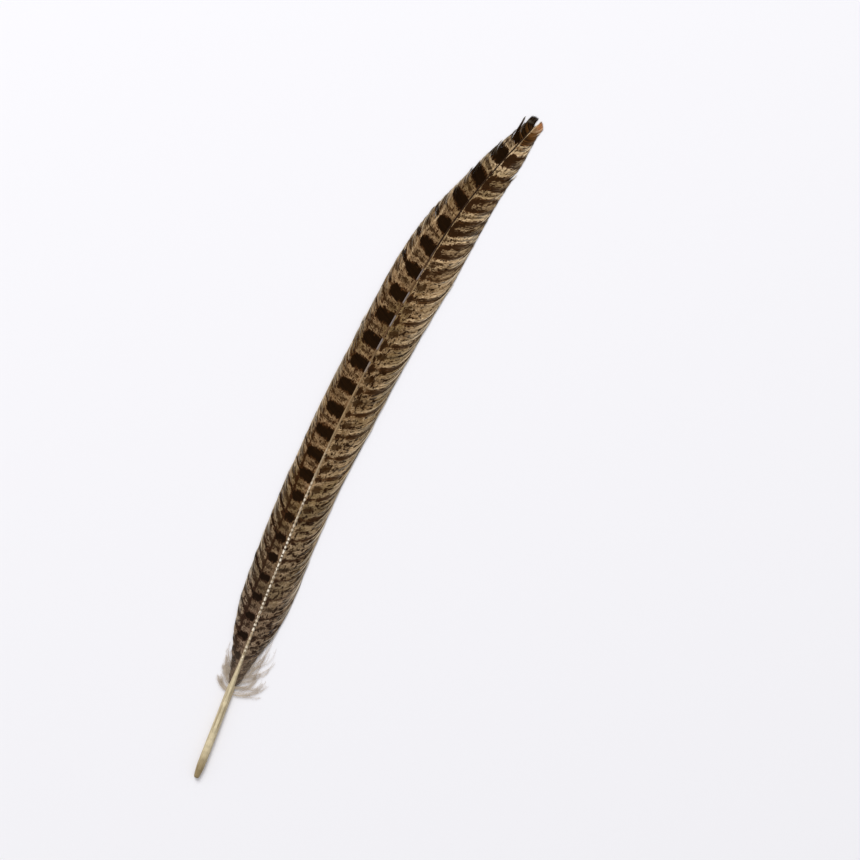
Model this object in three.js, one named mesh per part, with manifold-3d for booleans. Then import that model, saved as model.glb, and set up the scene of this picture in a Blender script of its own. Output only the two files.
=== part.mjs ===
// A tail feather of a hen pheasant, lying on its underside. Millimetres, +Z up.
// The feather grew as one piece, so it is one solid: a tapered shaft, two vanes
// parted into locks of barbs, and loose down where the vanes begin.
// The quill's end points to -Y and the tip to +Y. The origin is at the middle of
// the feather's outline, on the surface that it lies on.

import * as THREE from 'three';
import { mergeVertices } from 'three/addons/utils/BufferGeometryUtils.js';
import Module from 'manifold-3d';

const wasm = await Module();
wasm.setup();

const length = 282; // straight from the quill's end to the tip
const middle = { x: -8.4, y: 140.9 }; // centre of the outline, from the quill's end

// How far the shaft bows to the left of that straight line, at even steps along it.
const sway = [0, -4.5, -9.1, -13, -14.5, -13.6, -9.9, 0];

const shaft = {
  end: 278, // the shaft runs almost to the tip
  quill: 36, // bare quill, lying flat on its underside
  quillRadius: 1.55,
  tipRadius: 0.36,
  taperPower: 3.5, // thins fast above the quill, then hardly at all
  cutRadius: 0.8, // the quill's end
  cutLength: 5,
  depth: 0.93, // height of the section over its width
  archRise: 2.1, // underside of the shaft above the surface, midway
  sides: 10,
  rings: 46,
  firstRing: 0.65, // spacing of the rings at the quill over their mean, as that end bends more
};

// Each vane is given at even steps of the place where its barbs leave the shaft:
// how far out their tips reach, and how far they sweep towards the feather's tip.
const vane = {
  firstRoot: 37,
  lastRoot: 276.5,
  left: {
    reach: [2, 8.4, 9.5, 9.7, 9.5, 9.7, 9.7, 9.9, 10.6, 9.7, 7.2, 5.7, 3],
    sweep: [4, 11.5, 12.4, 12.5, 12.5, 12.8, 13, 13.4, 14, 12.4, 9.5, 7.4, 4.6],
    deepSplits: { 9: 0.62, 17: 0.7, 26: 0.55, 28: 0.45 }, // lock number: parted from here out
  },
  right: {
    reach: [3, 9.6, 10.1, 10.4, 11, 11.8, 12, 12.2, 12.3, 11.2, 9.1, 6.5, 2.9],
    sweep: [7, 16, 16.2, 16.6, 17, 17.5, 17.5, 17, 16.3, 13.8, 11.4, 8.2, 3.6],
    deepSplits: { 2: 0.5, 5: 0.6, 12: 0.66, 20: 0.7, 27: 0.6 },
  },
  tip: { reach: 0.3, sweep: 5.4 }, // the last barbs fold together and lie straight ahead
  lean: 0.25, // share of a barb's sweep that is even; the rest is the bend near its tip
  droop: 1.6, // power of the slope from the shaft down to the margin
  seat: 0.3, // barbs leave the shaft this part of its radius above its middle
  edgeHeight: 0.3, // middle of the vane's thickness at the margin
  rootThickness: 0.44,
  edgeThickness: 0.34,
  rows: 6, // steps from the shaft to the margin
  locks: 30, // on each side
};

// The lines across one lock: the split below it, its lower edge and its upper edge.
// fullness is how far along its barbs a line reaches, and lift raises or lowers its margin,
// as each lock lies a little over the one before it.
const lock = {
  split: { place: 0, fullness: 0.86, uneven: 0, lift: 0 },
  lowerEdge: { place: 0.14, fullness: 0.95, uneven: 0.035, lift: -0.09 },
  upperEdge: { place: 0.86, fullness: 0.985, uneven: 0.012, lift: 0.09 },
  waveStep: 2.4, // radians of unevenness from one lock to the next
  rightWave: 1.3, // and how far the right vane's unevenness runs ahead
};

// Loose down at the foot of each vane: the locks' roots, reach and sweep.
const down = {
  left: { count: 4, firstRoot: 35, spacing: 2.6, reach: 6.8, sweep: 5, spread: 0.5 },
  right: { count: 5, firstRoot: 34.5, spacing: 2.4, reach: 12.2, sweep: 7.5, spread: 1.1 },
  width: 1.5,
  tipWidth: 0.35,
  thickness: 0.4,
  tipHeight: 0.25,
  shorter: 0.12, // of every second and third lock, by this part and by twice as much
  rows: 6,
};

const shaftLine = new THREE.CatmullRomCurve3(
  sway.map((x, step) => new THREE.Vector3(x, (step / (sway.length - 1)) * length, 0)),
  false, 'catmullrom', 0.5,
);

// A point at a distance along the shaft and a distance out from it, to the right if positive.
function place(along, out, height) {
  const at = shaftLine.getPoint(Math.min(along / length, 1));
  const ahead = shaftLine.getTangent(Math.min(along / length, 1));
  return new THREE.Vector3(at.x + out * ahead.y, at.y - out * ahead.x, height);
}

// Value of a list given at even steps, smooth between them, with part running from 0 to 1.
function smoothValue(list, part) {
  const line = new THREE.SplineCurve(list.map((value, step) => new THREE.Vector2(step, value)));
  return line.getPoint(part).y;
}

function shaftTaper(along) {
  const part = THREE.MathUtils.clamp((along - shaft.quill) / (shaft.end - shaft.quill), 0, 1);
  return shaft.tipRadius + (shaft.quillRadius - shaft.tipRadius) * (1 - part) ** shaft.taperPower;
}

// The shaft's middle arches up from the quill and comes down again at the tip.
function axisHeight(along) {
  const part = THREE.MathUtils.clamp((along - shaft.quill) / (shaft.end - shaft.quill), 0, 1);
  return shaft.archRise * Math.sin(Math.PI * part) ** 2 + shaftTaper(along) * shaft.depth;
}

function rootHeight(along) {
  return axisHeight(along) + vane.seat * (shaftTaper(along) - shaft.tipRadius);
}

function mapVertices(geometry, map) {
  const position = geometry.attributes.position;
  const point = new THREE.Vector3();
  for (let i = 0; i < position.count; i += 1) {
    point.fromBufferAttribute(position, i);
    position.setXYZ(i, ...map(point).toArray());
  }
  return geometry;
}

function toSolid(geometry) {
  geometry.deleteAttribute('normal');
  geometry.deleteAttribute('uv');
  const merged = mergeVertices(geometry, 1e-4);
  return new wasm.Manifold(new wasm.Mesh({
    numProp: 3,
    vertProperties: new Float32Array(merged.attributes.position.array),
    triVerts: new Uint32Array(merged.index.array),
  }));
}

// The shaft: a closed cylinder drawn along the shaft's line, with a flat facet underneath.
function makeShaft() {
  const turn = Math.PI / shaft.sides;
  const tube = new THREE.CylinderGeometry(1, 1, 1, shaft.sides, shaft.rings, false, turn);
  return mapVertices(tube, (point) => {
    const part = point.y + 0.5;
    const along = shaft.end * part * THREE.MathUtils.lerp(shaft.firstRing, 1, part);
    const fromCut = Math.min(along / shaft.cutLength, 1);
    const narrowing = THREE.MathUtils.lerp(shaft.cutRadius / shaft.quillRadius, 1, Math.sqrt(fromCut));
    const radius = shaftTaper(along) * narrowing;
    const up = (point.z / Math.cos(turn)) * radius * shaft.depth;
    return place(along, point.x * radius, axisHeight(along) + up);
  });
}

// A barb's course: from the shaft at v = 0 to its tip at v = 1, to the right if reach is positive.
// It leaves the shaft steeply and ends along the margin.
function barbPoint(root, reach, sweep, v, height) {
  const outward = v * (2 - v);
  const forward = THREE.MathUtils.lerp(v ** 3, outward, vane.lean);
  return place(root + sweep * forward, reach * outward, height);
}

// Both vanes in one blade, with the lines of a lock repeated along it.
function makeVanes() {
  const lockLines = [lock.split, lock.lowerEdge, lock.upperEdge];
  const lines = vane.locks * lockLines.length;
  const span = vane.lastRoot - vane.firstRoot;
  const blade = new THREE.BoxGeometry(2, 1, 1, 2 * vane.rows, lines, 1);
  return mapVertices(blade, (point) => {
    const side = point.x < 0 ? vane.left : vane.right;
    const row = Math.abs(point.x);
    const line = Math.round((point.y + 0.5) * lines);
    const number = Math.floor(line / lockLines.length);
    const kind = lockLines[line % lockLines.length];
    const isEnd = line === 0 || line === lines;
    const wave = Math.sin(number * lock.waveStep + (point.x < 0 ? 0 : lock.rightWave));
    const deepSplit = kind === lock.split ? side.deepSplits[number] : undefined;
    const v = row * (isEnd ? 1 : deepSplit ?? kind.fullness + kind.uneven * wave);
    const part = (number + kind.place) / vane.locks;
    const root = vane.firstRoot + span * part;
    const reach = line === lines ? vane.tip.reach : smoothValue(side.reach, part);
    const sweep = line === lines ? vane.tip.sweep : smoothValue(side.sweep, part);
    const slope = 1 - v ** vane.droop;
    const thickness = THREE.MathUtils.lerp(vane.edgeThickness, vane.rootThickness, slope);
    const height = THREE.MathUtils.lerp(vane.edgeHeight, rootHeight(root), slope)
      + kind.lift * v + point.z * thickness;
    return barbPoint(root, Math.sign(point.x) * reach, sweep, v, height);
  });
}

// A lock of down: a thin strip that leaves the shaft and sinks to the surface.
function makeDownLock(side, sign, number) {
  const root = side.firstRoot + side.spacing * number;
  const reach = side.reach * (1 - down.shorter * (number % 3));
  const sweep = side.sweep + side.spread * number;
  const strip = new THREE.BoxGeometry(1, 1, 1, down.rows, 1, 1);
  return mapVertices(strip, (point) => {
    // the left side runs the other way along the strip, which keeps its faces outwards
    const v = 0.5 + sign * point.x;
    const width = THREE.MathUtils.lerp(down.width, down.tipWidth, v);
    const height = THREE.MathUtils.lerp(axisHeight(root), down.tipHeight, Math.sqrt(v));
    const across = point.y * width;
    return barbPoint(root + across, sign * reach, sweep, v, height + point.z * down.thickness);
  });
}

function makeFeather() {
  let solid = toSolid(makeShaft()).add(toSolid(makeVanes()));
  for (const [side, sign] of [[down.left, -1], [down.right, 1]]) {
    for (let number = 0; number < side.count; number += 1) {
      solid = solid.add(toSolid(makeDownLock(side, sign, number)));
    }
  }
  const result = solid.getMesh();
  const geometry = new THREE.BufferGeometry();
  geometry.setAttribute('position', new THREE.BufferAttribute(result.vertProperties, 3));
  geometry.setIndex(new THREE.BufferAttribute(result.triVerts, 1));
  geometry.computeVertexNormals();

  const keratin = new THREE.MeshStandardMaterial({ color: 0x7b6248, roughness: 0.7, metalness: 0 });
  const feather = new THREE.Mesh(geometry, keratin);
  feather.name = 'feather';
  feather.position.set(-middle.x, -middle.y, 0);
  return feather;
}

const pheasantTailFeather = new THREE.Group();
pheasantTailFeather.add(makeFeather());

export default pheasantTailFeather;
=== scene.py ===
import math
import bmesh
import bpy
import numpy as np
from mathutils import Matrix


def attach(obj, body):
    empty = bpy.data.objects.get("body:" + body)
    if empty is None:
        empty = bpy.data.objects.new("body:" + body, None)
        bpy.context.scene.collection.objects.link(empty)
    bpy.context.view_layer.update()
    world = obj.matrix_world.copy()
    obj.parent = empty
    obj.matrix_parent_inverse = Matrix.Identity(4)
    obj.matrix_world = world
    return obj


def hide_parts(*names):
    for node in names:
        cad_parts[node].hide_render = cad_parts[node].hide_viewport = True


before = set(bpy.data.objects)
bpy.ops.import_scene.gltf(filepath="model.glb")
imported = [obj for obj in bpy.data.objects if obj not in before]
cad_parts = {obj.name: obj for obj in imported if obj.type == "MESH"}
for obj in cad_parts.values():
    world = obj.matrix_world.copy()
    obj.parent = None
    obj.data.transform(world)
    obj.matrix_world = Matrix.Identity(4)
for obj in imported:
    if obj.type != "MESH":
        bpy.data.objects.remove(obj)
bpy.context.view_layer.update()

# One tail feather of a hen pheasant, lying on its underside on a pale surface.
# Sizes of the feather are in millimetres and are turned to metres only where points are placed.
millimetre = 0.001

feather = {
    "length": 282.0,  # straight from the quill's end to the tip
    "middle": (-8.4, 140.9),  # centre of the outline, from the quill's end
    "sway": (0, -4.5, -9.1, -13, -14.5, -13.6, -9.9, 0),  # the shaft's bow to the left
    "leastHeight": 0.02,  # of any barb above the surface
}

shaft = {
    "end": 278.0,
    "quill": 36.0,  # bare quill
    "quillRadius": 1.55,
    "tipRadius": 0.36,
    "taperPower": 3.5,  # thins fast above the quill, then hardly at all
    # half the width that shows between the vanes, at even steps from end to end
    "ridge": (1.5, 1.5, 1.0, 0.55, 0.41, 0.38, 0.37, 0.37, 0.37,
              0.36, 0.35, 0.33, 0.31, 0.29, 0.26, 0.23, 0.2),
    "cutRadius": 0.8,
    "cutLength": 5.0,
    "depth": 0.93,  # height of the section over its width
    "archRise": 2.1,  # of its underside above the surface, midway
    "seatSpacing": 1.75,  # between the swellings, and the painted glints, where barbs are seated
    "sides": 20,
    "rings": 420,
}

# How many dark bars lie before each tenth of the length; they widen towards the tip.
barCount = (-6.4, -2.7, 1.0, 4.6, 8.0, 11.2, 14.1, 16.9, 19.6, 22.2, 24.8)


def smoothStep(low, high, value):
    t = np.clip((value - low) / (high - low), 0, 1)
    return t * t * (3 - 2 * t)


def mix(a, b, t):
    return a + (b - a) * t


def evenCurve(values, part, mirroredEnds=False):
    # smooth curve through values at even steps, part running from 0 to 1
    given = np.asarray(values, float)
    before, after = given[0], given[-1]
    if mirroredEnds:
        before, after = 2 * given[0] - given[1], 2 * given[-1] - given[-2]
    padded = np.concatenate([[before], given, [after]])
    t = np.clip(part, 0, 1) * (len(given) - 1)
    i = np.minimum(t.astype(int), len(given) - 2)
    t = t - i
    a, b, c, d = padded[i], padded[i + 1], padded[i + 2], padded[i + 3]
    return 0.5 * (2 * b + (c - a) * t + (2 * a - 5 * b + 4 * c - d) * t**2 + (3 * b - a - 3 * c + d) * t**3)


def shaftSide(along):
    return evenCurve(feather["sway"], along / feather["length"], mirroredEnds=True)


def place(along, out, height):
    # a point by its distance along the shaft and out from it, to the right if positive
    along, out, height = np.broadcast_arrays(np.asarray(along, float), out, height)
    held = np.clip(along, 0.3, feather["length"] - 0.3)
    slope = (shaftSide(held + 0.25) - shaftSide(held - 0.25)) / 0.5
    size = np.sqrt(1 + slope**2)
    x = shaftSide(np.clip(along, 0, feather["length"])) + out / size - feather["middle"][0]
    y = along - out * slope / size - feather["middle"][1]
    return np.stack([x, y, height], axis=-1) * millimetre


def upTheShaft(along):
    return np.clip((along - shaft["quill"]) / (shaft["end"] - shaft["quill"]), 0, 1)


def shaftTaper(along):
    thinning = (1 - upTheShaft(along)) ** shaft["taperPower"]
    return shaft["tipRadius"] + (shaft["quillRadius"] - shaft["tipRadius"]) * thinning


def axisHeight(along):
    arch = shaft["archRise"] * np.sin(np.pi * upTheShaft(along)) ** 2
    return arch + shaftTaper(along) * shaft["depth"]


def barPhase(along):
    # whole numbers at the middles of the dark bars
    return evenCurve(barCount, along / feather["length"], mirroredEnds=True)


def makeObject(name, mesh):
    made = bpy.data.objects.new(name, mesh)
    bpy.context.scene.collection.objects.link(made)
    return made


def addField(mesh, name, values):
    field = mesh.attributes.new(name, "FLOAT_VECTOR", "POINT")
    field.data.foreach_set("vector", np.ascontiguousarray(values, np.float32).ravel())


def strandMesh(name, points, rowsInMap=4):
    # strands joined in one mesh: points[strand, step, corner] with four corners round each strand
    strands, rings, corners = points.shape[:3]
    number = np.arange(strands * rings * corners).reshape(strands, rings, corners)
    after = np.roll(number, -1, axis=2)
    walls = np.stack([number[:, :-1], after[:, :-1], after[:, 1:], number[:, 1:]], axis=-1).reshape(-1, 4)
    caps = np.concatenate([number[:, 0, ::-1], number[:, -1]])
    faces = np.concatenate([walls, caps])
    mesh = bpy.data.meshes.new(name)
    mesh.from_pydata(points.reshape(-1, 3).tolist(), [], faces.tolist())

    # the map for baking: each strand has a narrow column with its walls side by side, and its end caps
    # in a thin band at the top
    perRow = math.ceil(strands / rowsInMap)
    column = (np.arange(strands) % perRow)[:, None, None, None]
    row = (np.arange(strands) // perRow)[:, None, None, None]
    wall = np.arange(corners)[None, None, :, None]
    step = np.arange(rings - 1)[None, :, None, None]
    acrossCorner = np.array([0, 1, 1, 0])[None, None, None, :]
    alongCorner = np.array([0, 0, 1, 1])[None, None, None, :]
    margin = 0.04
    u = (column + margin + (1 - 2 * margin) * (wall + acrossCorner) / corners) / perRow
    v = (row + 0.02 + 0.94 * (step + alongCorner) / (rings - 1)) / rowsInMap
    u, v = np.broadcast_arrays(u, v)
    wallMap = np.stack([u, v], axis=-1).reshape(-1, 2)
    capShape = np.array([[0.2, 0], [0.8, 0], [0.8, 1], [0.2, 1]])
    capMap = []
    for end in (0, 1):
        capU = (np.arange(strands) % perRow)[:, None] + 0.1 + 0.35 * capShape[None, :, 0] + 0.45 * end
        capV = (np.arange(strands) // perRow)[:, None] + 0.97 + 0.02 * capShape[None, :, 1]
        capMap.append(np.stack([capU / perRow, capV / rowsInMap], axis=-1).reshape(-1, 2))
    bakeMap = mesh.uv_layers.new(name="OFBake")
    bakeMap.data.foreach_set("uv", np.concatenate([wallMap] + capMap).astype(np.float32).ravel())
    mesh.polygons.foreach_set("use_smooth", np.ones(len(faces), bool))
    return mesh


def linear(code):
    # sRGB hex to linear
    parts = [int(code[i:i + 2], 16) / 255 for i in (1, 3, 5)]
    return tuple(p / 12.92 if p <= 0.04045 else ((p + 0.055) / 1.055) ** 2.4 for p in parts) + (1,)


def newMaterial(name):
    # an empty material and the function that adds a node to it, with its settings and links
    material = bpy.data.materials.new(name)
    material.use_nodes = True
    tree = material.node_tree
    tree.nodes.clear()

    def add(kind, inputs=(), **settings):
        made = tree.nodes.new("ShaderNode" + kind)
        for key, value in settings.items():
            setattr(made, key, value)
        # inputs go by place or by name; a node stands for its first output in use
        for key, given in inputs.items() if isinstance(inputs, dict) else enumerate(inputs):
            if isinstance(given, bpy.types.Node):
                given = next(output for output in given.outputs if output.enabled)
            if isinstance(given, bpy.types.NodeSocket):
                tree.links.new(given, made.inputs[key])
            else:
                made.inputs[key].default_value = given
        return made

    return material, add


def weightedSum(add, total, *terms):
    # a total and each value times its weight
    for value, weight in terms:
        total = add("Math", [value, weight, total], operation="MULTIPLY_ADD")
    return total


def layOver(add, colour, code, *amounts):
    # one more colour over what is there, as strongly as its amounts multiplied
    share = 1.0
    for amount in amounts:
        share = add("Math", [share, amount], operation="MULTIPLY")
    return add("Mix", {"Factor": share, "A": colour, "B": linear(code)}, data_type="RGBA")


# Camera: straight above, turned so that the feather leans as in the photograph. Lengths are in metres.
view = {
    "frameWidth": 0.3268,  # what the picture takes in, side to side
    "centre": (0.0259, 0.0172),
    "turn": 27.63,  # degrees
    "distance": 1.3,
    "sensor": 36.0,  # millimetres
}


def makeCamera():
    data = bpy.data.cameras.new("camera")
    data.sensor_width = view["sensor"]
    data.lens = view["sensor"] * view["distance"] / view["frameWidth"]
    data.clip_start = 0.05
    camera = makeObject("camera", data)
    camera.location = (*view["centre"], view["distance"])
    camera.rotation_euler = (0, 0, math.radians(view["turn"]))
    bpy.context.scene.camera = camera
    print("camera ready")


makeCamera()

vane = {
    "firstRoot": 37.0,
    "lastRoot": 276.5,
    "lean": 0.25,  # share of a barb's sweep that is even; the rest is the bend near its tip
    "droop": 1.6,  # power of the slope from the shaft down to the margin
    "seat": 0.3,  # barbs leave the shaft this part of its radius above its middle
    "edgeHeight": 0.3,
    "locks": 30,
    "loosePart": 0.13,  # how much of the vane, from its foot, has loose barbs
    "lift": 0.09,  # each lock lies a little over the one before it
    "barbs": 560,  # about 0.43 mm apart, as on the real feather
    "steps": 26,
    "overlap": 1.7,  # a barb's width over the room that it has
    "leastWidth": 0.22,
    "tipBarbs": 14,  # at the very tip barbs fold together and lie straight ahead
    "tipRoot": 277.8,
    "tipReach": 0.3,
    "tipEnd": 281.9,
    "barbuleSlant": 0.28,  # how far barbules carry the pattern forward on each side of a barb
    "left": {
        "reach": (2, 8.4, 9.5, 9.7, 9.5, 9.7, 9.7, 9.9, 10.6, 9.7, 7.2, 5.7, 3),
        "sweep": (4, 11.5, 12.4, 12.5, 12.5, 12.8, 13, 13.4, 14, 12.4, 9.5, 7.4, 4.6),
        "deepSplits": {9: 0.62, 17: 0.7, 26: 0.55, 28: 0.45, 29: 0.4},
        "shallow": (0.5, 0.7),  # where the other splits begin along their barbs
        "flare": (0.015, 0.05),  # how far the barbs bow apart there
    },
    "right": {
        "reach": (3, 9.6, 10.1, 10.4, 11, 11.8, 12, 12.2, 12.3, 11.2, 9.1, 6.5, 2.9),
        "sweep": (7, 16, 16.2, 16.6, 17, 17.5, 17.5, 17, 16.3, 13.8, 11.4, 8.2, 3.6),
        "deepSplits": {2: 0.5, 5: 0.6, 12: 0.66, 20: 0.7, 27: 0.6},
        "shallow": (0.3, 0.55),
        "flare": (0.03, 0.09),
    },
}

# fade is how much weaker the bars are near the margin
barbColours = {
    "left": {
        "ground": "#67492d", "pale": "#9e825f", "olive": "#67532d",
        "dark": "#1d0f03", "rim": "#462a12", "speck": "#341c08", "fade": 0.0,
    },
    "right": {
        "ground": "#765a3a", "pale": "#bfa27b", "olive": "#735f38",
        "dark": "#311d0b", "rim": "#4d3016", "speck": "#291504", "fade": 0.22,
    },
    "both": {
        "fleck": "#d9bd96", "blotch": "#362009", "tipBrown": "#66431f", "tipRufous": "#b27446",
        # lit is a painted highlight and shaded a painted shade, on single barbs and beside splits; lit also
        # paints the margin
        "lit": "#e0d0b5", "shaded": "#241405", "dust": "#6a5c4e", "underside": "#8d8274",
    },
}


def barbMaterial(sideName):
    # keratin barbs with melanin bars, soft satin from the barbules between them
    colours = {**barbColours["both"], **barbColours[sideName]}
    material, add = newMaterial(sideName + "VaneBarbs")
    fields = {}
    for name in ("strand", "bar", "zone", "edge"):
        source = add("Attribute", attribute_name=name)
        fields[name] = add("SeparateXYZ", [source.outputs["Vector"]]).outputs
    root, reached, ownTone = fields["strand"]
    phase, mainWidth, secondWidth = fields["bar"]
    stripeWidth, speckled, groundTone = fields["zone"]
    litEdge, shadedEdge, rufous = fields["edge"]

    # noise by cycles to the millimetre, along the shaft and along a barb; centred on zero
    noise = {}
    for name, perRoot, perReached, seed in (
            ("across", 0.6, 1.35, 8.7), ("following", 1.5, 0.5, 2.3), ("coarse", 0.5, 0.42, 3.1),
            ("fine", 2.4, 0.75, 5.3), ("broad", 0.045, 0.1, 1.5)):
        x = add("Math", [root, perRoot], operation="MULTIPLY")
        y = add("Math", [reached, perReached], operation="MULTIPLY")
        clouds = add("TexNoise", {"Vector": add("CombineXYZ", [x, y, seed]), "Scale": 1.0, "Detail": 2.0})
        noise[name] = add("Math", [clouds, 0.5], operation="SUBTRACT")
    coarse, fine = noise["coarse"], noise["fine"]

    # speckles lie across the barbs near the shaft and follow them further out
    outward = add("MapRange", [reached, 4.0, 9.0], interpolation_type="SMOOTHSTEP")
    turned = add("Math", [noise["following"], noise["across"]], operation="SUBTRACT")
    middle = add("Math", [turned, outward, noise["across"]], operation="MULTIPLY_ADD")
    ragged = weightedSum(add, 0.0, (fine, 0.2), (middle, 0.24), (coarse, 0.28), (ownTone, 0.008))
    tone = weightedSum(add, 0.0, (fine, 2.0), (middle, 2.8), (groundTone, 1.0))
    specks = weightedSum(add, speckled, (fine, 0.45), (middle, 1.0), (coarse, 0.6))

    # the dark bars lie at whole phases, and brown blotches half way between them
    fromMain = weightedSum(add, ragged, (add("Math", [phase, 0.5], operation="PINGPONG"), 1.0))
    inMain = add("Math", [mainWidth, fromMain], operation="SUBTRACT")
    halfPhase = add("Math", [phase, 0.5], operation="ADD")
    fromSecond = weightedSum(add, add("Math", [halfPhase, 0.5], operation="PINGPONG"), (ragged, 1.5))
    inSecond = add("Math", [secondWidth, fromSecond], operation="SUBTRACT")
    # on the right vane a mottled pale stripe runs inside each bar, and the bars are weaker outwards
    inStripe = add("Math", [stripeWidth, weightedSum(add, fromMain, (fine, 0.5))], operation="SUBTRACT")
    striped = add("MapRange", [inStripe, -0.06, 0.06], interpolation_type="SMOOTHSTEP")
    unstriped = add("Math", [striped, -0.85, 1.0], operation="MULTIPLY_ADD")
    unfaded = add("Math", [outward, -colours["fade"], 1.0], operation="MULTIPLY_ADD")
    barStrength = add("Math", [unstriped, unfaded], operation="MULTIPLY")

    # each colour shows as far as a value has risen between two others, times a strength: tan to pale buff
    # with paler flecks, drifting to olive, then brown speckles, blotches, bars and the brown tip
    colour = linear(colours["ground"])
    for name, value, low, high, strength in (
            ("pale", tone, -0.05, 1.2, 1.0),
            ("fleck", tone, 0.95, 1.75, 0.8),
            ("olive", noise["broad"], -0.05, 0.15, 0.5),
            ("speck", specks, 0.29, 0.41, 1.0),
            ("blotch", inSecond, -0.07, 0.05, 0.9),
            ("rim", inMain, -0.06, 0.0, barStrength),
            ("dark", inMain, -0.02, 0.05, barStrength),
            ("tipBrown", rufous, 0.0, 0.7, 0.8),
            ("tipRufous", rufous, 0.7, 1.0, 0.8)):
        risen = add("MapRange", [value, low, high], interpolation_type="SMOOTHSTEP")
        colour = layOver(add, colour, colours[name], risen, strength)

    # single barbs catch the light, though less on a bar, or lie in shade
    onBar = add("MapRange", [inMain, -0.01, 0.045], interpolation_type="SMOOTHSTEP")
    offBar = add("Math", [onBar, -0.8, 1.0], operation="MULTIPLY_ADD")
    colour = layOver(add, colour, colours["lit"], litEdge, 0.8, offBar)
    colour = layOver(add, colour, colours["shaded"], shadedEdge, 0.85)
    value = weightedSum(add, 1.0, (fine, 0.6), (middle, 0.5), (ownTone, 0.09))
    # duller towards the foot of the vane, and dusty at the foot itself
    dull = add("MapRange", [root, 130.0, 40.0], interpolation_type="SMOOTHSTEP")
    fresh = add("Math", [dull, -0.25, 1.0], operation="MULTIPLY_ADD")
    colour = add("HueSaturation", {"Color": colour, "Value": value, "Saturation": fresh})
    foot = add("MapRange", [root, 54.0, 40.0], interpolation_type="SMOOTHSTEP")
    colour = layOver(add, colour, colours["dust"], foot, 0.5)
    under = add("Attribute", attribute_name="under")
    colour = layOver(add, colour, colours["underside"], under.outputs["Fac"], 0.45)

    # barbules cross each barb; drawn 0.15 mm apart, real ones are finer
    turns = add("Math", [reached, 2 * math.pi / 0.15], operation="MULTIPLY")
    barbules = add("Math", [turns], operation="SINE")
    bump = add("Bump", {"Height": barbules, "Strength": 0.12, "Distance": 0.00003})
    shader = add("BsdfPrincipled", {
        "Base Color": colour, "Roughness": 0.7, "Specular IOR Level": 0.03, "Normal": bump})
    add("OutputMaterial", [shader])
    return material


def splitLines(sideName, rng):
    # where barbs part towards the margin: between the locks, and more faintly inside them;
    # given as places, flares, starts and strengths
    side = vane[sideName]
    rows = [(0.0, 0.0, 0.9, 0.0)]
    for lock in range(vane["locks"]):
        if lock:
            deep = side["deepSplits"].get(lock)
            if deep:
                # wider towards the tip, and widest before the last lock
                start = deep - 0.12
                flare = 1.3 if lock == vane["locks"] - 1 else 0.75 if lock > 24 else 0.42
            else:
                start = rng.uniform(*side["shallow"])
                flare = rng.uniform(*side["flare"])
            rows.append((lock / vane["locks"], flare, start, 1.0))
        inner = 3 if lock < vane["locks"] - 2 else 4
        for number in range(1, inner + 1):
            spot = (lock + (number + rng.uniform(-0.3, 0.3)) / (inner + 1)) / vane["locks"]
            flare = rng.uniform(0, side["flare"][0]) + 0.1 * (lock >= vane["locks"] - 2)
            rows.append((spot, flare, rng.uniform(side["shallow"][1], 0.85), rng.uniform(0.2, 0.9)))
    rows.append((1.0, 0.0, 0.9, 0.0))
    return np.array(rows).T


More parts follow.
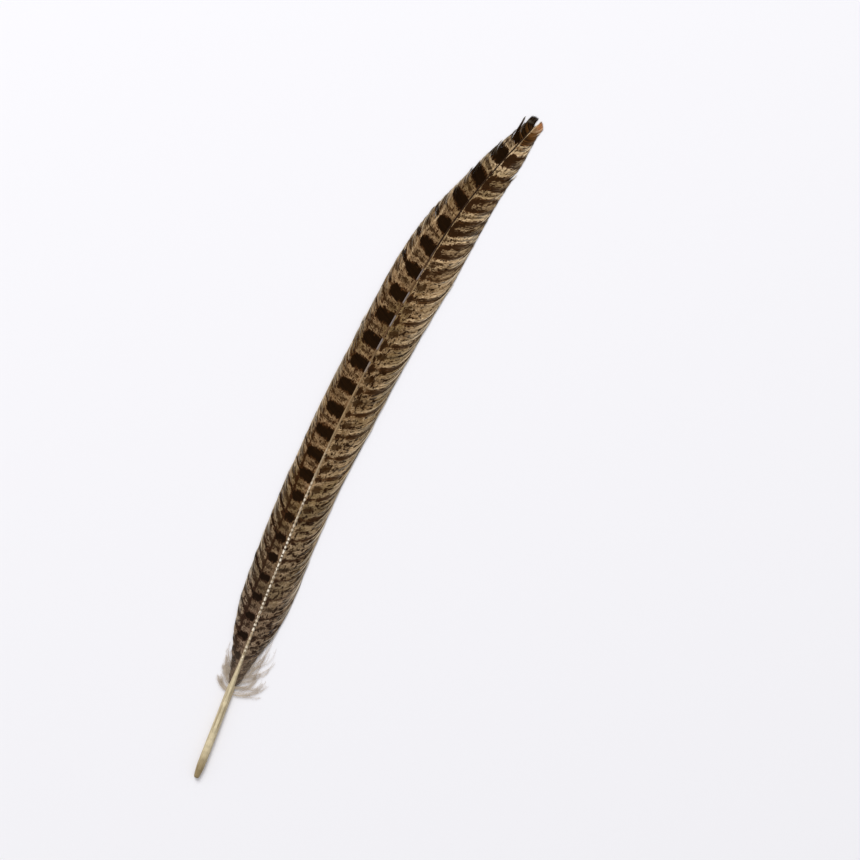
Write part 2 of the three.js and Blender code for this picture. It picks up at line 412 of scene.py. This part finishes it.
def makeVane(sideName, sign, seed):
    side = vane[sideName]
    rng = np.random.default_rng(seed)
    span = vane["lastRoot"] - vane["firstRoot"]
    spacing = span / vane["barbs"]
    atTip = (np.arange(vane["tipBarbs"]) + 0.5) / vane["tipBarbs"]
    roots = np.concatenate([vane["firstRoot"] + spacing * (np.arange(vane["barbs"]) + 0.5),
                            mix(vane["lastRoot"], vane["tipRoot"], atTip)])
    count = len(roots)
    part = np.minimum((roots - vane["firstRoot"]) / span, 0.9999)
    fold = np.concatenate([np.zeros(vane["barbs"]), atTip])
    v = np.linspace(0, 1, vane["steps"] + 1)[None, :]
    reach = mix(evenCurve(side["reach"], part), vane["tipReach"], fold)
    reach = reach * (1 + rng.normal(0, 0.007, count))
    sweep = mix(evenCurve(side["sweep"], part), vane["tipEnd"] - roots, fold)
    sweep = sweep * (1 + rng.normal(0, 0.015, count))
    # a few barbs on the left stand off just before the tip
    stray = smoothStep(268.6, 269.2, roots) * (1 - smoothStep(271.8, 272.1, roots)) * (sign < 0)
    sweep = sweep * (1 + 0.55 * stray)
    reach, sweep = reach[:, None], sweep[:, None]
    nominal = roots[:, None] + 0 * v
    loose = 1 - smoothStep(0.0, vane["loosePart"], part)[:, None]

    places, flares, starts, strength = splitLines(sideName, rng)
    low = np.clip(np.searchsorted(places, part, side="right") - 1, 0, len(places) - 2)
    high = low + 1
    fromLow = ((part - places[low]) * vane["barbs"])[:, None]
    toHigh = ((places[high] - part) * vane["barbs"])[:, None] + 20 * fold[:, None]

    # barbs below a split bow outwards, and those above it stay in
    bow = flares[high][:, None] * smoothStep(starts[high][:, None], 1, v) * np.exp(-toHigh / 5)
    bow = bow - 0.8 * flares[low][:, None] * smoothStep(starts[low][:, None], 1, v) * np.exp(-fromLow / 5)
    bow = bow * np.minimum(reach / 10, 1) + rng.normal(0, 0.04, count)[:, None] * v**3
    wave = rng.uniform(0, 2 * np.pi, count)[:, None]
    bow = bow + loose * 0.55 * np.sin(5 * v + wave) * v + 1.3 * stray[:, None] * v**2
    outward = v * (2 - v)
    forward = mix(v**3, outward, vane["lean"])
    out = np.maximum(reach * outward + bow, 0)
    along = nominal + sweep * forward + loose * 0.8 * np.sin(4 * v + 2 * wave) * v
    along = along + rng.normal(0, 0.04, count)[:, None] * v**2
    # the two sides part at the very tip
    out = out + 0.35 * smoothStep(276.5, 280.5, along) * smoothStep(0.3, 0.8, v)

    slope = 1 - v ** vane["droop"]
    rootHeight = axisHeight(nominal) + vane["seat"] * (shaftTaper(nominal) - shaft["tipRadius"])
    inLock = (part * vane["locks"] % 1)[:, None]
    height = mix(vane["edgeHeight"], rootHeight, slope)
    height = height + 2 * (inLock - 0.5) * vane["lift"] * v * (fold == 0)[:, None]
    height = height + rng.normal(0, 0.018, count)[:, None] * v
    centre = place(along, sign * out, height)
    ahead = np.gradient(centre[..., :2], axis=1)
    ahead /= np.linalg.norm(ahead, axis=-1, keepdims=True)
    toTip = np.stack([-sign * ahead[..., 1], sign * ahead[..., 0], 0 * v + 0 * nominal], -1)
    room = spacing * np.abs(ahead[..., 0])
    width = np.maximum(room * vane["overlap"], vane["leastWidth"]) * mix(1, 0.5, loose * v)
    # the barbs just above a split are wider
    besideSplit = np.exp(-(fromLow - 0.5) / 1.2) * (strength[low] == 1)[:, None]
    width = width * (1 + 1.2 * besideSplit * smoothStep(0.3, 0.5, v))
    width = width * (1 - 0.8 * smoothStep(0.93, 1.0, v))
    thick = mix(0.07, 0.12, slope) * (1 - 0.7 * smoothStep(0.93, 1.0, v))

    toCorner = toTip * (width / 2)[..., None] * millimetre
    upward = np.array([0, 0, millimetre]) * thick[..., None]
    points = np.stack([centre - toCorner, centre + 0.8 * upward, centre + toCorner, centre - upward], axis=2)
    if sign > 0:
        points = points[:, :, ::-1]
    points[..., 2] = np.maximum(points[..., 2], feather["leastHeight"] * millimetre)
    mesh = strandMesh(sideName + "Vane", points, 6)

    # what the pattern is drawn from, carried by every point of the barbs
    everywhere = np.zeros_like(centre[..., 0])
    pattern = leftPattern if sign < 0 else rightPattern
    bar, zone, rufous = pattern(nominal, nominal + sweep * forward, reach * outward)
    reached = np.cumsum(np.linalg.norm(np.diff(centre, axis=1), axis=-1), axis=1)
    reached = np.concatenate([np.zeros((count, 1)), reached], axis=1)
    # neighbours share some of their tone, and each barb has some of its own
    ownTone = np.repeat(rng.normal(0, 0.8, count // 4 + 1), 4)[:count] + rng.normal(0, 1, count)
    shiftedRoot = nominal + rng.normal(0, 0.06, count)[:, None]
    strand = np.stack([shiftedRoot, reached / millimetre, everywhere + ownTone[:, None]], -1)
    # the barb below a split catches light and the one above it lies in its shade
    litEdge = 1.1 * np.exp(-(toHigh - 0.5) / 1.6) * strength[high][:, None]
    litEdge = litEdge * smoothStep(starts[high][:, None], 0.95, v)
    shadedEdge = np.exp(-((fromLow - 0.5) / 1.5) ** 2) * strength[low][:, None]
    shadedEdge = shadedEdge * smoothStep(starts[low][:, None] - 0.12, starts[low][:, None] + 0.15, v)
    # single barbs that catch the light or lie in shade give the outer vane its fine lines
    chance = rng.uniform(0, 1, count)[:, None]
    outerPart = smoothStep(side["shallow"][0] - 0.05, 0.9, v) * (1 - fold[:, None])
    glow = mix(0.3, 0.95, rng.uniform(0, 1, count)[:, None])
    litEdge = np.maximum(litEdge, (chance > 0.66) * glow * outerPart)
    shadedEdge = np.maximum(shadedEdge, (chance < 0.14) * 0.6 * outerPart * (1 - smoothStep(0.85, 1, v)))
    # the margin itself is pale, partly its own colour and partly painted highlight against the shade of its
    # slope, except towards the tip
    litEdge = np.maximum(litEdge, smoothStep(0.82, 0.95, v) * (1 - smoothStep(0.6, 0.8, part))[:, None])
    # just before the tip: a painted highlight as a pale patch, and a painted highlight along the line where
    # the stray barbs part from the rest
    patch = np.exp(-(((along - 278.7) / 0.6) ** 2)) * smoothStep(0.5, 0.75, v)
    line = np.exp(-(((roots - 272.5) / 0.4) ** 2))[:, None] * smoothStep(0.3, 0.6, v)
    litEdge = np.maximum(litEdge, np.maximum(patch, line) * (sign < 0))
    # brown runs down from the tip on single barbs
    streak = smoothStep(0.5, 0.9, rng.uniform(0, 1, count))[:, None]
    nearTip = smoothStep(263, 269, along) * (1 - smoothStep(277, 279, along))
    rufous = np.maximum(rufous, 0.5 * streak * nearTip)
    edge = np.stack([litEdge + everywhere, shadedEdge + everywhere, rufous + everywhere], -1)
    # barbules slant forward on both sides of a barb, so the pattern's lines make small chevrons on it
    ridges = np.array([0, 1, 0, 1] if sign < 0 else [1, 0, 1, 0])[None, None, :, None]
    slant = vane["barbuleSlant"] * millimetre / np.gradient(reached, axis=1)[:, :, None, None]
    for name, values in (("strand", strand), ("bar", bar), ("zone", zone), ("edge", edge)):
        corners = values[:, :, None, :] - (1 - ridges) * slant * np.gradient(values, axis=1)[:, :, None, :]
        if name == "strand":
            corners[..., 0] += np.array([-0.5, 0, 0.5, 0] if sign < 0 else [0, 0.5, 0, -0.5]) * spacing
        addField(mesh, name, corners)
    # two of a barb's four walls face down, and its end caps count as facing up
    under = np.isin(np.arange(4), (0, 3) if sign > 0 else (2, 3)).astype(float)
    perFace = np.concatenate([np.tile(under, count * vane["steps"]), np.zeros(2 * count)])
    layer = mesh.attributes.new("under", "FLOAT", "CORNER")
    layer.data.foreach_set("value", np.repeat(perFace, 4).astype(np.float32))

    made = makeObject(sideName + "Vane", mesh)
    made.data.materials.append(barbMaterial(sideName))
    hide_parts("feather")
    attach(made, "root")
    print(sideName, "vane:", count, "barbs,", 2 * len(mesh.polygons), "triangles")


# Both patterns read three distances in millimetres: where a barb leaves the shaft, and how far along the
# shaft and out from it each of its points lies. They give back the bars' phase, the half widths of the
# bars, of the blotches between them and of the stripe inside them, as parts of the bars' spacing, how
# speckled and how pale the ground is, and how rufous the tip is.
noWidth = -0.3  # for a bar or a stripe that isn't there


def leftPattern(root, along, out):
    # squarish blotches against the shaft; beyond them cells run forward to the margin
    blockReach = 2.0 + 2.6 * smoothStep(46, 56, along) + 2.2 * smoothStep(106, 142, along)
    blockReach = blockReach - 1.6 * smoothStep(222, 232, along) + 2.6 * smoothStep(234, 248, along)
    outer = np.maximum(0, out - blockReach)
    slant = mix(0.12, 0.3, smoothStep(190, 220, along))
    rate = mix(1.3, 0.8, smoothStep(190, 225, along))
    phase = np.minimum(barPhase(along - slant * (np.minimum(out, blockReach) - 2.8) - rate * outer), 24.15)
    inner = 1 - smoothStep(-0.3, 0.25, outer - 0.3)
    high = smoothStep(195, 210, along) * (1 - smoothStep(246, 256, along))
    wide = 0.2 + 0.055 * smoothStep(95, 125, along) + 0.02 * smoothStep(212, 226, along)
    wide = wide + 0.05 * smoothStep(255, 266, along) - 0.5 * (0.68 * out / blockReach) ** 6
    wide = wide - 0.08 * (1 - smoothStep(0.2, 0.8, out)) - 0.5 * (1 - smoothStep(42, 48, along))
    wide = wide - 0.1 * high * (out / blockReach) ** 2
    # low down they stand clear of the shaft
    wide = wide - 0.3 * (1 - smoothStep(0.6, 1.3, out)) * (1 - smoothStep(90, 130, along))
    # past the blotches the outer cells are small and plain low down, dark ovals in pale rings higher up
    oval = np.sqrt(np.clip(1 - ((outer - 2.2) / 1.5) ** 2, 0, 1))
    cell = 0.06 - 0.05 * smoothStep(120, 140, along) + 0.3 * smoothStep(246, 262, along)
    main = mix(mix(cell, 0.15 * oval - 0.03, high), wide, inner)
    second = mix(0.1, 0.05, inner) - 0.06 * smoothStep(120, 140, along) * (1 - inner)
    second = second - 0.25 * (1 - smoothStep(0.5, 1.6, out))
    second = mix(second, 0.15 * oval - 0.03, high * (1 - inner))
    # a thin dark line joins the outer corners of the blotches
    scallop = np.exp(-((out - blockReach - 0.35) / 0.3) ** 2) * (1 - 0.75 * smoothStep(120, 150, along))
    ring = high * np.exp(-((outer - 0.5) / 0.35) ** 2)
    speckle = mix(0.3, 0.25, inner) + 0.4 * scallop * (1 - high) + 0.03 * smoothStep(210, 240, along)
    speckle = speckle - 0.15 * ring - 0.07 * high * (1 - inner) - 0.1 * smoothStep(250, 262, along)
    lower = smoothStep(70, 95, along)
    upper = smoothStep(140, 180, along)
    outerTone = 0.95 + 0.25 * lower - 0.35 * upper
    tone = mix(0.35 + 0.27 * lower + 0.08 * upper, outerTone, smoothStep(blockReach, blockReach + 2.5, out))
    tone = tone + 0.5 * ring + 1.0 * smoothStep(250, 262, along)
    bar = np.stack([phase, main, second], -1)
    zone = np.stack([np.full_like(phase, noWidth), speckle, tone], -1)
    return bar, zone, np.zeros_like(along)


def rightPattern(root, along, out):
    # small blotches by the shaft, which lengthen into bars to the margin towards the tip
    shift = mix(along - root, 0.42 * out + 0.024 * out**2, smoothStep(200, 225, root))
    phase = barPhase(along - shift + 0.3)
    late = smoothStep(160, 215, root)
    nearShaft = 1 - smoothStep(1.5, 2.6, out)
    # from here up each bar runs on to the margin as a thin dark line, which also stands in for the shade
    # along the splits, with a painted highlight behind it where barb tips catch the light
    thin = smoothStep(80, 110, root) * smoothStep(3.6, 5.6, out)
    early = mix(0.09 * nearShaft + 0.005, 0.22 * nearShaft, smoothStep(140, 170, root)) + 0.085 * thin
    full = 0.3 + 0.04 * smoothStep(3, 7, out) - 0.035 * smoothStep(250, 262, root)
    main = mix(noWidth, mix(early, full, smoothStep(196, 222, root)), smoothStep(0.1, 0.5, out))
    # the stripe inside a bar starts off the shaft, and near the tip only further out
    striped = smoothStep(1.5, 2.3, out) * smoothStep(185, 212, root)
    striped = striped * (1 - smoothStep(252, 264, root) * (1 - smoothStep(3, 5, out)))
    stripe = mix(noWidth, mix(0.07, 0.12, smoothStep(3, 8, out)), striped)
    # the blotches between the bars stay near the shaft
    largeBlotch = smoothStep(0.9, 1.6, out) * (1 - smoothStep(3.8, 5.2, out))
    smallBlotch = smoothStep(0.8, 1.6, out) * (1 - smoothStep(3, 5, out))
    second = 0.2 * smoothStep(90, 140, root) * largeBlotch
    second = second + 0.12 * (1 - smoothStep(110, 140, root)) * smallBlotch
    second = mix(second - 0.06, 0.02, smoothStep(205, 225, root))
    # a painted highlight just behind each thin dark line, raising the tone and clearing the speckles
    litBehind = np.exp(-(((phase - 0.14 + 0.5) % 1 - 0.5) / 0.07) ** 2)
    litBehind = litBehind * thin * (1 - smoothStep(196, 215, root))
    speckle = mix(0.3, 0.34, smoothStep(3, 6, out)) - 0.04 * late - 0.12 * litBehind
    speckle = speckle - 0.06 * smoothStep(7, 9, out) - 0.14 * smoothStep(252, 260, root)
    tone = 0.3 + 0.42 * smoothStep(70, 95, root) - 0.2 * smoothStep(130, 150, root)
    tone = tone + 0.3 * smoothStep(6.5, 9.5, out) * smoothStep(60, 120, root)
    tone = tone + 0.33 * smoothStep(205, 225, root) + 0.65 * smoothStep(250, 262, root)
    tone = tone + 0.6 * litBehind
    # high up each bar has a clean pale line along both its edges
    fromBar = np.abs((phase + 0.5) % 1 - 0.5)
    beside = np.exp(-((fromBar - full - 0.07) / 0.05) ** 2)
    beside = beside * smoothStep(205, 222, root) * smoothStep(2, 3.5, out)
    tone = tone + 0.25 * beside
    speckle = speckle - 0.15 * beside
    bar = np.stack([phase, main, second], -1)
    zone = np.stack([stripe, speckle, tone], -1)
    rufous = mix(0.7 * smoothStep(272.5, 276, along), 1, smoothStep(277, 280.5, along))
    return bar, zone, rufous * smoothStep(0.3, 0.8, out)


makeVane("left", -1, 11)
makeVane("right", 1, 23)


shaftColours = {
    "cut": "#9a8762", "quill": "#d2c3a0", "fibre": "#8d7a5a",
    "low": "#b39c7c", "middle": "#927856", "high": "#60462c", "tip": "#2a1708",
    # the grey over dark bars is a painted sheen, the near-white a row of painted glints, and the dark brown
    # after them darker seats deepened by painted shade
    "underside": "#b5a383", "gloss": "#857b78", "glint": "#fff3de", "seat": "#473322",
}


def shaftMaterial():
    # horn-like keratin: pale and glossy at the quill, brown towards the tip
    material, add = newMaterial("hornShaft")
    source = add("Attribute", attribute_name="shaftPlace")
    along, around, phase = add("SeparateXYZ", [source.outputs["Vector"]]).outputs

    # streaks and finer fibres run lengthwise
    streakPlace = add("CombineXYZ", [add("Math", [along, 0.2], operation="MULTIPLY"), around, 4.0])
    streaks = add("TexNoise", {"Vector": streakPlace, "Scale": 2.6, "Detail": 4.0})
    patches = add("TexNoise", {"Vector": streakPlace, "Scale": 0.9, "Detail": 1.0})
    fibreLength = add("Math", [along, 0.06], operation="MULTIPLY")
    fibreWidth = add("Math", [around, 2.0], operation="MULTIPLY")
    fibrePlace = add("CombineXYZ", [fibreLength, fibreWidth, 7.0])
    fibres = add("TexNoise", {"Vector": fibrePlace, "Scale": 1.8, "Detail": 3.0})
    fromBar = add("Math", [phase, 0.5], operation="PINGPONG")
    # a row of painted glints, highlights between the seats of the barbs, unevenly spaced; the seats between
    # them are darkened, partly as painted shade
    turns = weightedSum(add, 0.0, (streaks, 12.0), (along, 2 * math.pi / shaft["seatSpacing"]))
    row = add("Math", [turns], operation="SINE")

    # smooth steps from 0 to 1, as a value goes from one number to the other
    step = {}
    for name, value, start, end in (
            ("quill", along, 2.0, 14.0), ("low", along, 36.0, 60.0), ("middle", along, 110.0, 150.0),
            ("high", along, 160.0, 185.0), ("tip", along, 205.0, 222.0), ("bare", along, 60.0, 30.0),
            ("fibre", fibres, 0.52, 0.4), ("upperSide", around, 0.4, -0.8), ("overBar", fromBar, 0.27, 0.19),
            ("paintedSheenStart", along, 155.0, 175.0), ("paintedSheenEnd", along, 222.0, 205.0),
            ("rowStart", along, 42.0, 58.0), ("rowEnd", along, 142.0, 100.0), ("patchy", patches, 0.3, 0.55),
            ("glint", row, -0.5, 0.4), ("seat", row, 0.15, -0.7), ("satin", along, 100.0, 160.0)):
        step[name] = add("MapRange", [value, start, end], interpolation_type="SMOOTHSTEP")
    lowerSide = add("Math", [1.0, step["upperSide"]], operation="SUBTRACT")
    inRow = (step["rowStart"], step["rowEnd"], step["patchy"], step["upperSide"])

    # the upper side alone gets painted light: a grey sheen painted where the shaft crosses a dark bar, and
    # the row of painted glints
    colour = linear(shaftColours["cut"])
    for name, *amounts in (
            ("quill", step["quill"]), ("fibre", step["fibre"], step["bare"], 0.75), ("low", step["low"]),
            ("middle", step["middle"]), ("high", step["high"]), ("tip", step["tip"]),
            ("underside", lowerSide, 0.45),
            ("gloss", step["overBar"], step["paintedSheenStart"], step["paintedSheenEnd"], step["upperSide"], 0.8),
            ("glint", step["glint"], *inRow), ("seat", step["seat"], *inRow)):
        colour = layOver(add, colour, shaftColours[name], *amounts)
    value = add("Math", [streaks, 1.1, 0.42], operation="MULTIPLY_ADD")
    colour = add("HueSaturation", {"Color": colour, "Value": value})
    satin = add("Math", [step["satin"], 0.35, 0.45], operation="MULTIPLY_ADD")
    bump = add("Bump", {"Height": streaks, "Strength": 0.25, "Distance": 0.00005})
    shader = add("BsdfPrincipled", {
        "Base Color": colour, "Roughness": satin, "Specular IOR Level": 0.15, "Normal": bump})
    add("OutputMaterial", [shader])
    return material


def makeShaft():
    # a grid rolled into a tube and drawn along the shaft's line
    bm = bmesh.new()
    bmesh.ops.create_grid(bm, x_segments=shaft["sides"], y_segments=shaft["rings"], size=0.5)
    unit = np.array([vert.co[:] for vert in bm.verts])
    turn = 2 * np.pi * (unit[:, 0] + 0.5)
    part = unit[:, 1] + 0.5
    along = shaft["end"] * part
    fromCut = np.clip(along / shaft["cutLength"], 0, 1)
    radius = shaftTaper(along) * mix(shaft["cutRadius"] / shaft["quillRadius"], 1, np.sqrt(fromCut))
    # faint swellings where barbs are seated, which break the light along the shaft
    seats = 1 + 0.03 * np.sin(2 * np.pi * along / shaft["seatSpacing"]) * smoothStep(42, 58, along)
    # the upper side is narrower than the rest, as the barbs are seated on its shoulders
    upper = smoothStep(-0.15, 0.2, -np.cos(turn))
    narrow = np.minimum(evenCurve(shaft["ridge"], part) / shaftTaper(along), 1)
    across = np.sin(turn) * radius * mix(1, narrow, upper)
    up = -np.cos(turn) * radius * shaft["depth"] * np.where(np.cos(turn) < 0, seats, 1)
    # a groove along the underside, on both sides of the seam
    groove = np.exp(-((turn / 0.45) ** 2)) + np.exp(-(((2 * np.pi - turn) / 0.45) ** 2))
    up = up + 0.3 * radius * groove * smoothStep(36, 60, along)
    centre = axisHeight(along)
    up = np.maximum(up, -centre)
    points = place(along, across, centre + up)
    for vert, point in zip(bm.verts, points):
        vert.co = point
    fieldLayer = bm.verts.layers.float_vector.new("shaftPlace")
    for vert, a, t, p in zip(bm.verts, along, turn, barPhase(along)):
        vert[fieldLayer] = (a, 2 * math.cos(t), p)
    # the map for baking: eight strips side by side, each an eighth of the shaft
    uvLayer = bm.loops.layers.uv.new("OFBake")
    strips = 8
    stripLength = shaft["end"] / strips
    unitOf = {vert: (p, t) for vert, p, t in zip(bm.verts, along, turn)}
    for face in bm.faces:
        middle = sum(unitOf[vert][0] for vert in face.verts) / len(face.verts)
        strip = min(int(middle / stripLength), strips - 1)
        for loop in face.loops:
            a, t = unitOf[loop.vert]
            u = (strip + 0.06 + 0.88 * t / (2 * math.pi)) / strips
            loop[uvLayer].uv = (u, 0.02 + 0.93 * (a / stripLength - strip))
    bmesh.ops.remove_doubles(bm, verts=bm.verts[:], dist=1e-7)
    rims = [edge for edge in bm.edges if edge.is_boundary]
    caps = bmesh.ops.holes_fill(bm, edges=rims, sides=0)["faces"]
    for number, face in enumerate(caps):
        for index, loop in enumerate(face.loops):
            around = 2 * math.pi * index / len(face.loops)
            u = 0.05 + 0.1 * number + 0.02 * math.cos(around)
            loop[uvLayer].uv = (u, 0.975 + 0.015 * math.sin(around))
    bmesh.ops.recalc_face_normals(bm, faces=bm.faces[:])
    mesh = bpy.data.meshes.new("shaft")
    bm.to_mesh(mesh)
    bm.free()
    mesh.polygons.foreach_set("use_smooth", np.ones(len(mesh.polygons), bool))
    made = makeObject("shaft", mesh)
    made.data.materials.append(shaftMaterial())
    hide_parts("feather")
    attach(made, "root")
    print("shaft:", len(mesh.polygons), "faces")


makeShaft()

down = {
    # as on the solid: locks of down on each side, how far out and how far forward they go
    "left": {"locks": 4, "firstRoot": 35.0, "spacing": 2.6, "reach": 6.8, "sweep": 5.0, "spread": 0.5},
    "right": {"locks": 5, "firstRoot": 34.5, "spacing": 2.4, "reach": 12.2, "sweep": 7.5, "spread": 1.1},
    "shorter": 0.12,
    "barbs": 8,  # in each lock
    "steps": 16,
    "width": 0.15,
    "barbules": 30,  # on each barb, alternating from side to side
    "barbuleSteps": 4,
    "barbuleLength": 1.15,
    "barbuleWidth": 0.06,
    "shade": "#a5927e",
    "pale": "#ddd0bd",
    "patches": 2.5,  # across, between its two greys
    "room": (-15.6, 15.7),  # sideways limits, which keep it within the feather's own width
}


def roundStrands(centre, width):
    # strands of a square section round given middle lines, in millimetres in and metres out
    ahead = np.gradient(centre, axis=1)
    ahead /= np.linalg.norm(ahead, axis=-1, keepdims=True)
    across = np.cross(ahead, np.array([0, 0, 1.0]))
    across /= np.maximum(np.linalg.norm(across, axis=-1, keepdims=True), 1e-6)
    upward = np.cross(across, ahead)
    half = width[..., None] / 2
    points = np.stack([centre - across * half, centre + upward * half,
                       centre + across * half, centre - upward * half], axis=2)
    points[..., 2] = np.maximum(points[..., 2], feather["leastHeight"])
    return points * millimetre


def downMaterial():
    # loose down: pale grey-brown, soft and without gloss
    material, add = newMaterial("greyDown")
    spot = add("TexCoord").outputs["Object"]
    perMetre = 1 / (down["patches"] * millimetre)
    patches = add("TexNoise", {"Vector": spot, "Scale": perMetre, "Detail": 2.0})
    colour = add("Mix", {"Factor": patches, "A": linear(down["shade"]), "B": linear(down["pale"])},
                 data_type="RGBA")
    shader = add("BsdfPrincipled", {"Base Color": colour, "Roughness": 0.9, "Specular IOR Level": 0.1})
    add("OutputMaterial", [shader])
    return material


def makeDown():
    rng = np.random.default_rng(5)
    barbs, barbules = [], []
    v = np.linspace(0, 1, down["steps"] + 1)[None, :]
    for sideName, sign in (("left", -1), ("right", 1)):
        side = down[sideName]
        lock = np.repeat(np.arange(side["locks"]), down["barbs"])
        count = len(lock)
        root = (side["firstRoot"] + side["spacing"] * lock + rng.uniform(-0.8, 0.8, count))[:, None]
        reach = side["reach"] * (1 - down["shorter"] * (lock % 3)) * rng.uniform(0.6, 1.08, count)
        sweep = (side["sweep"] + side["spread"] * lock) * rng.uniform(0.5, 1.3, count)
        reach, sweep = reach[:, None], sweep[:, None]
        # barbs of one lock wave together
        wave = rng.uniform(0, 2 * np.pi, (3, side["locks"]))[:, lock] + rng.normal(0, 0.5, (3, count))
        wave = wave[:, :, None]
        out = reach * v * (2 - v) + 0.55 * np.sin(7 * v + wave[0]) * v * (1 - 0.5 * v)
        along = root + sweep * mix(v**2, v, 0.4) + 0.9 * np.sin(5 * v + wave[1]) * v
        height = mix(axisHeight(root), 0.35, np.sqrt(v)) + 0.25 * (1 + np.sin(7 * v + wave[2])) * v * (1 - v)
        centre = place(along, sign * out, height) / millimetre
        barbs.append(roundStrands(centre, down["width"] * (1 - 0.7 * v) + 0 * out))

        # barbules branch off alternately, shorter towards both ends of their barb
        number = down["barbules"]
        at = mix(0.12, 0.97, (np.arange(number) + 0.5) / number)
        index = at * down["steps"]
        whole = index.astype(int)
        start = mix(centre[:, whole], centre[:, whole + 1], (index - whole)[None, :, None])
        heading = centre[:, whole + 1] - centre[:, whole]
        heading /= np.linalg.norm(heading, axis=-1, keepdims=True)
        turned = np.stack([-heading[..., 1], heading[..., 0], 0 * heading[..., 2]], -1)
        turned *= np.where(np.arange(number) % 2, 1, -1)[None, :, None]
        size = down["barbuleLength"] * np.sin(np.pi * mix(0.15, 0.95, at))
        size = (size * rng.uniform(0.5, 1, (count, number)))[..., None]
        w = np.linspace(0, 1, down["barbuleSteps"] + 1)
        curl = rng.uniform(-0.5, 0.5, (count, number))[..., None]
        forward = size * w * (0.5 + 0.5 * w)
        sideways = size * w * (0.85 + curl * w)
        course = (start[:, :, None] + heading[:, :, None] * forward[..., None]
                  + turned[:, :, None] * sideways[..., None])
        course[..., 2] = np.maximum(course[..., 2] + rng.normal(0, 0.12, (count, number))[..., None] * w, 0.1)
        course = course.reshape(count * number, len(w), 3)
        course[..., 0] = np.clip(course[..., 0], *down["room"])
        width = down["barbuleWidth"] * (1 - 0.5 * w)
        barbules.append(roundStrands(course, width + 0 * course[..., 0]))
    material = downMaterial()
    for name, parts, rows in (("downBarbs", barbs, 1), ("downBarbules", barbules, 16)):
        mesh = strandMesh(name, np.concatenate(parts), rows)
        made = makeObject(name, mesh)
        made.data.materials.append(material)
        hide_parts("feather")
        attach(made, "root")
        print(name, 2 * len(mesh.polygons), "triangles")


makeDown()

# lengths in metres
stage = {
    "floorSize": 4.0,
    "floorDrop": 0.00003,  # keeps the floor just clear of the feather's underside
    "floorColour": "#f4f3f6",
    "lampEnergy": 49.5,
    "lampSize": 1.5,
    "lampPlace": (-0.5, 1.6, 2.2),  # right and up in the picture, and above the floor
    "worldColour": (0.98, 0.98, 1.0, 1),
    "worldStrength": 0.56,
}


def makeStage():
    bm = bmesh.new()
    bmesh.ops.create_grid(bm, x_segments=1, y_segments=1, size=stage["floorSize"] / 2)
    bmesh.ops.translate(bm, verts=bm.verts[:], vec=(0, 0, -stage["floorDrop"]))
    mesh = bpy.data.meshes.new("floor")
    bm.to_mesh(mesh)
    bm.free()
    floor = makeObject("floor", mesh)
    # matt paper
    material, add = newMaterial("paperFloor")
    shader = add("BsdfPrincipled", {"Base Color": linear(stage["floorColour"]), "Roughness": 0.9})
    add("OutputMaterial", [shader])
    floor.data.materials.append(material)

    # a large soft lamp from the upper left of the picture, and even light from all round
    data = bpy.data.lights.new("softLamp", "AREA")
    data.energy = stage["lampEnergy"]
    data.size = stage["lampSize"]
    lamp = makeObject("softLamp", data)
    turn = math.radians(view["turn"])
    right, up, above = stage["lampPlace"]
    x = right * math.cos(turn) - up * math.sin(turn)
    y = right * math.sin(turn) + up * math.cos(turn)
    lamp.location = (x, y, above)
    direction = -lamp.location
    lamp.rotation_euler = direction.to_track_quat("-Z", "Y").to_euler()
    world = bpy.data.worlds.new("studio")
    world.use_nodes = True
    background = world.node_tree.nodes["Background"]
    background.inputs["Color"].default_value = stage["worldColour"]
    background.inputs["Strength"].default_value = stage["worldStrength"]
    bpy.context.scene.world = world
    bpy.context.scene.view_settings.view_transform = "Standard"
    print("stage ready")


makeStage()
